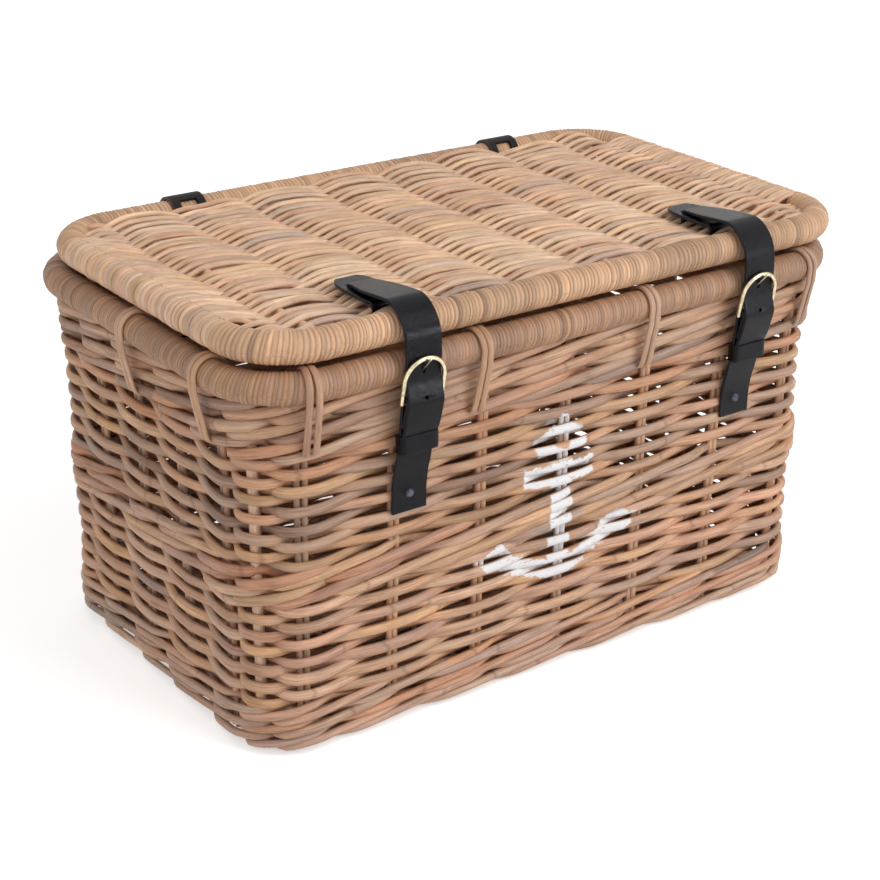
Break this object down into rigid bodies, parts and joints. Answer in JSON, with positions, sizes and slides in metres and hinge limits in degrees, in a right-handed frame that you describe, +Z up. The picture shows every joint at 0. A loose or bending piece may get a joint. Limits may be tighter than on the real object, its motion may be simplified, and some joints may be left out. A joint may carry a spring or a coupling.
{
  "type": "wicker storage chest",
  "caption": "Woven rattan storage chest with a hinged woven lid, leather hinge straps and leather straps that close with brass horseshoe buckles.",
  "frame": {"origin": "under the middle of the closed chest's bounding box, on the floor", "axes": "+X to the right as seen from the front, +Y to the back with the hinges, +Z up"},
  "size_m": [0.6076, 0.3967, 0.3569],
  "materials": {
    "rattan": "dry, unvarnished",
    "lid_rattan": "dry, unvarnished",
    "dark_rattan": "dry, unvarnished",
    "cane": "smooth, unvarnished",
    "binding_cane": "smooth skin, unvarnished",
    "black_leather": "satin, fine grain",
    "aged_brass": "dulled"
  },
  "bodies": {
    "chest": {"base_border": "dark_rattan", "base_sticks": "cane", "base_weave": "rattan", "bottom_wale": "rattan", "lower_siding": "rattan", "middle_wale": "rattan", "upper_siding": "rattan", "top_wale": "rattan", "front_stakes": "cane", "back_stakes": "cane", "left_stakes": "cane", "right_stakes": "cane", "corner_stakes": "cane", "body_rim_pole": "dark_rattan", "body_rim_binding": "binding_cane", "rim_ties": "binding_cane", "lower_strap_left": "black_leather", "lower_strap_right": "black_leather", "keeper_left": "black_leather", "keeper_right": "black_leather", "strap_rivets": "aged_brass", "hinge_strap_left": "black_leather", "hinge_strap_right": "black_leather"},
    "lid": {"lid_rim_pole": "dark_rattan", "lid_rim_binding": "binding_cane", "lid_end_turns": "lid_rattan", "lid_weave": "lid_rattan", "lid_sticks": "cane", "upper_strap_left": "black_leather", "upper_strap_right": "black_leather"},
    "billet_l": {"billet_left": "black_leather"},
    "billet_r": {"billet_right": "black_leather"},
    "buckle_l": {"buckle_frame_left": "aged_brass"},
    "buckle_r": {"buckle_frame_right": "aged_brass"},
    "prong_l": {"prong_left": "aged_brass"},
    "prong_r": {"prong_right": "aged_brass"}
  },
  "joints": [
    {"name": "lid_hinge", "type": "hinge", "parent": "chest", "child": "lid", "pos_m": [0, 0.18607, 0.3204], "axis": [-1, 0, 0], "range_deg": [0, 105], "deforming": ["hinge_strap_left", "hinge_strap_right"]},
    {"name": "billet_swing_left", "type": "hinge", "parent": "lid", "child": "billet_l", "pos_m": [-0.15705, -0.18825, 0.322], "axis": [-1, 0, 0], "range_deg": [-95, 0], "deforming": ["billet_left"]},
    {"name": "billet_swing_right", "type": "hinge", "parent": "lid", "child": "billet_r", "pos_m": [0.17595, -0.18825, 0.322], "axis": [-1, 0, 0], "range_deg": [-95, 0], "deforming": ["billet_right"]},
    {"name": "buckle_swing_left", "type": "hinge", "parent": "chest", "child": "buckle_l", "pos_m": [-0.15705, -0.1865, 0.283], "axis": [1, 0, 0], "range_deg": [0, 95]},
    {"name": "prong_swing_left", "type": "hinge", "parent": "buckle_l", "child": "prong_l", "pos_m": [-0.15705, -0.1865, 0.283], "axis": [1, 0, 0], "range_deg": [0, 45]},
    {"name": "buckle_swing_right", "type": "hinge", "parent": "chest", "child": "buckle_r", "pos_m": [0.17595, -0.1865, 0.283], "axis": [1, 0, 0], "range_deg": [0, 95]},
    {"name": "prong_swing_right", "type": "hinge", "parent": "buckle_r", "child": "prong_r", "pos_m": [0.17595, -0.1865, 0.283], "axis": [1, 0, 0], "range_deg": [0, 45]}
  ],
  "couplings": [
    {"joint": "billet_swing_left", "follows": "lid_hinge", "ratio": -0.9},
    {"joint": "billet_swing_right", "follows": "lid_hinge", "ratio": -0.9}
  ]
}
